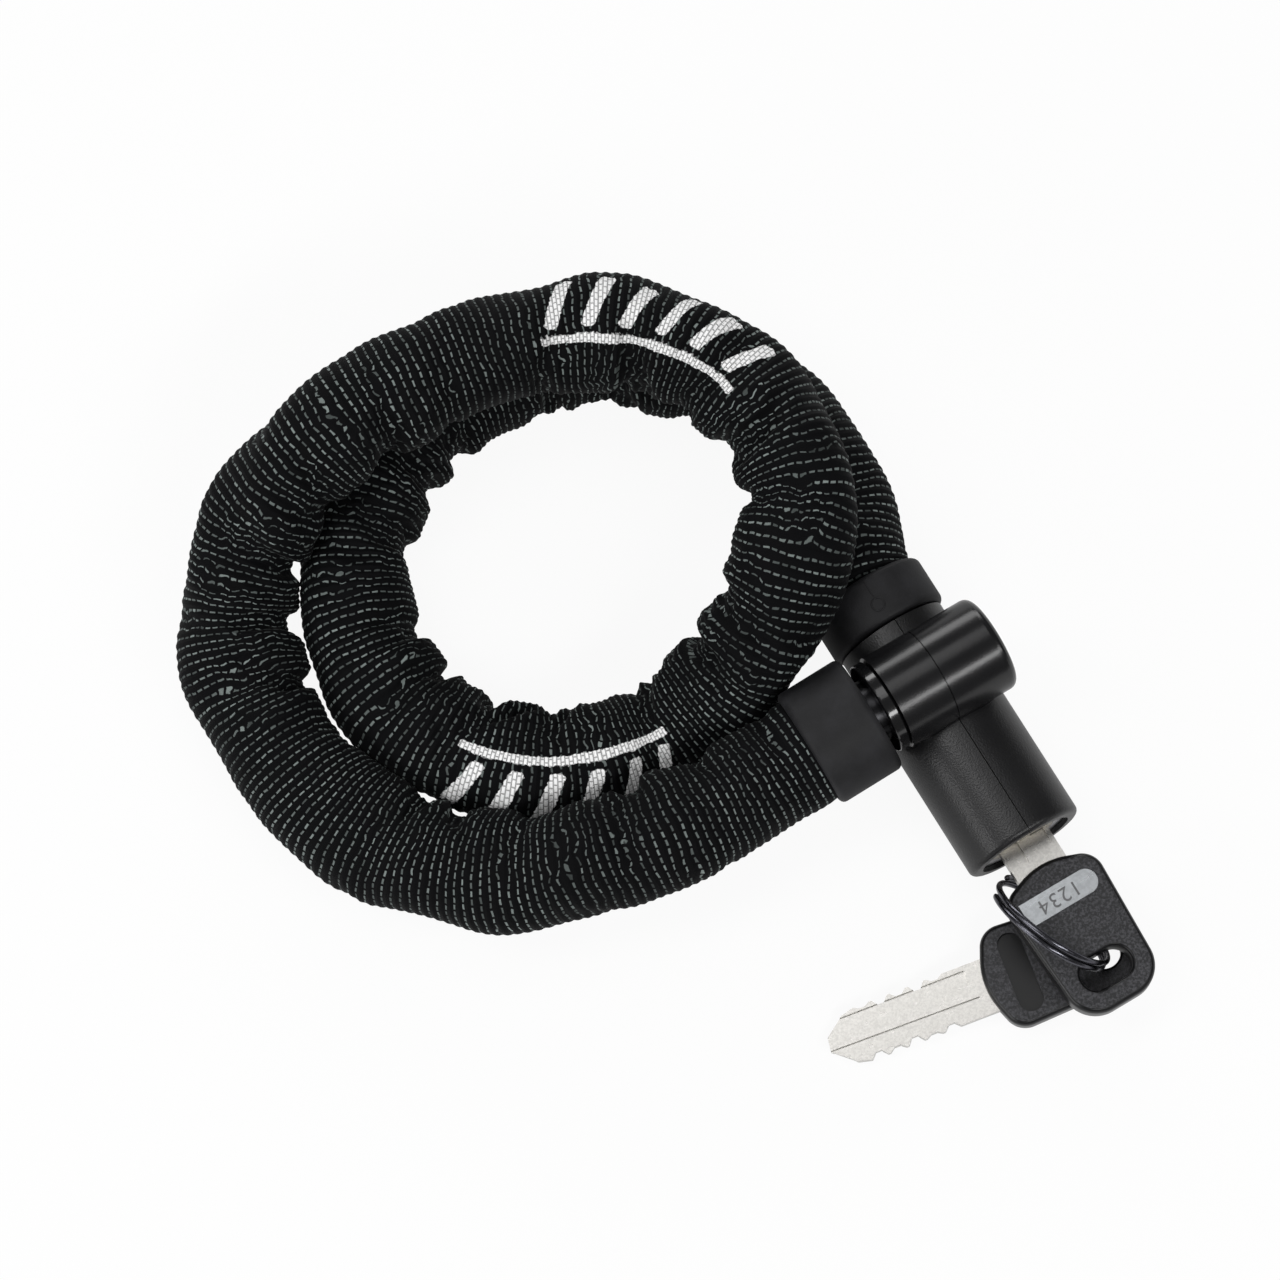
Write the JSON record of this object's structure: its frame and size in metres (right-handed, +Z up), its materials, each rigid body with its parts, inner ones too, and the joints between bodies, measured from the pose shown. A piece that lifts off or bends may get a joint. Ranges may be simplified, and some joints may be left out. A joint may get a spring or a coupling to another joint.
{
  "type": "chain lock",
  "caption": "Fabric-sleeved chain lock coiled on itself, with a cylinder lock, cross bolt, rubber cuffs and keys on a split ring.",
  "frame": {"origin": "on the table, straight below the point where the bolt's axis passes over the plug's axis", "axes": "+Z up from the table, +Y along the main cylinder from the key to the chain, +X along the bolt's axis towards the closed end of the cross barrel"},
  "size_m": [0.1314, 0.1695, 0.0408],
  "materials": {
    "cover_plastic": "satin black",
    "mouth_ring_plastic": "gloss black",
    "cuff_rubber": "matte black",
    "case_metal": "cast",
    "face_metal": "dark satin",
    "plug_brass": "machined",
    "plain_steel": "turned",
    "spring_steel": "drawn",
    "key_nickel": "bright nickel",
    "key_plastic": "fine grain",
    "code_plate_metal": "satin",
    "ring_steel": "gunmetal",
    "sleeve_fabric": "ribbed woven nylon",
    "chain_steel": "zinc plated"
  },
  "bodies": {
    "lock_head": {"cover_left": "cover_plastic", "cover_right": "cover_plastic", "lock_case": "case_metal", "face_plate": "face_metal", "keeper_pin": "plain_steel", "spring_cap": "case_metal", "latch_spring": "spring_steel", "barrel_mouth_ring": "mouth_ring_plastic", "cuff_lock_side": "cuff_rubber", "anchor_pin_lock_side": "plain_steel", "sleeve_clamp_lock_side": "plain_steel", "sleeve_tail": "sleeve_fabric", "chain_links_tail": "chain_steel"},
    "chain_end": {"bolt": "plain_steel", "cuff_bolt_side": "cuff_rubber", "anchor_pin_bolt_side": "plain_steel", "sleeve_clamp_bolt_side": "plain_steel", "sleeve": "sleeve_fabric", "chain_links_01": "chain_steel", "chain_links_02": "chain_steel", "chain_links_03": "chain_steel", "chain_links_04": "chain_steel", "chain_links_05": "chain_steel", "chain_links_06": "chain_steel", "chain_links_07": "chain_steel", "chain_links_08": "chain_steel", "chain_links_09": "chain_steel", "chain_links_10": "chain_steel", "chain_links_11": "chain_steel", "chain_links_12": "chain_steel", "chain_links_13": "chain_steel", "chain_links_14": "chain_steel", "chain_links_15": "chain_steel", "chain_links_16": "chain_steel"},
    "plug": {"plug": "plug_brass", "wafer_1": "plug_brass", "wafer_2": "plug_brass", "wafer_3": "plug_brass", "wafer_4": "plug_brass", "wafer_5": "plug_brass", "wafer_springs": "spring_steel"},
    "latch": {"latch": "plain_steel"},
    "key": {"key_blade": "key_nickel", "key_head": "key_plastic", "key_code_plate": "code_plate_metal"},
    "key_ring": {"split_ring": "ring_steel"},
    "spare_key": {"spare_key_blade": "key_nickel", "spare_key_head": "key_plastic", "spare_key_code_plate": "code_plate_metal"}
  },
  "joints": [
    {"name": "bolt_slide", "type": "slide", "parent": "lock_head", "child": "chain_end", "axis": [-1, 0, 0], "range_m": [0, 0.02], "deforming": ["sleeve_tail", "chain_links_tail"]},
    {"name": "plug_turn", "type": "hinge", "parent": "lock_head", "child": "plug", "pos_m": [0, -0.02, 0.0113], "axis": [0, -1, 0], "range_deg": [0, 90]},
    {"name": "latch_lift", "type": "slide", "parent": "lock_head", "child": "latch", "axis": [0, 0, 1], "range_m": [0, 0.0019], "deforming": ["latch_spring"]},
    {"name": "key_slide", "type": "slide", "parent": "plug", "child": "key", "axis": [0, -1, 0], "range_m": [0, 0.03]},
    {"name": "ring_swing", "type": "hinge", "parent": "key", "child": "key_ring", "pos_m": [-0.0036, -0.0477, 0.0112], "axis": [-0.3419, 0.9397, 0], "range_deg": [-2, 10]},
    {"name": "spare_swing", "type": "hinge", "parent": "key_ring", "child": "spare_key", "pos_m": [0.0024, -0.054, 0.005], "axis": [0, 0, 1], "range_deg": [-2, 20]}
  ],
  "couplings": [
    {"joint": "latch_lift", "follows": "plug_turn", "m_per_rad": 0.0012064}
  ]
}
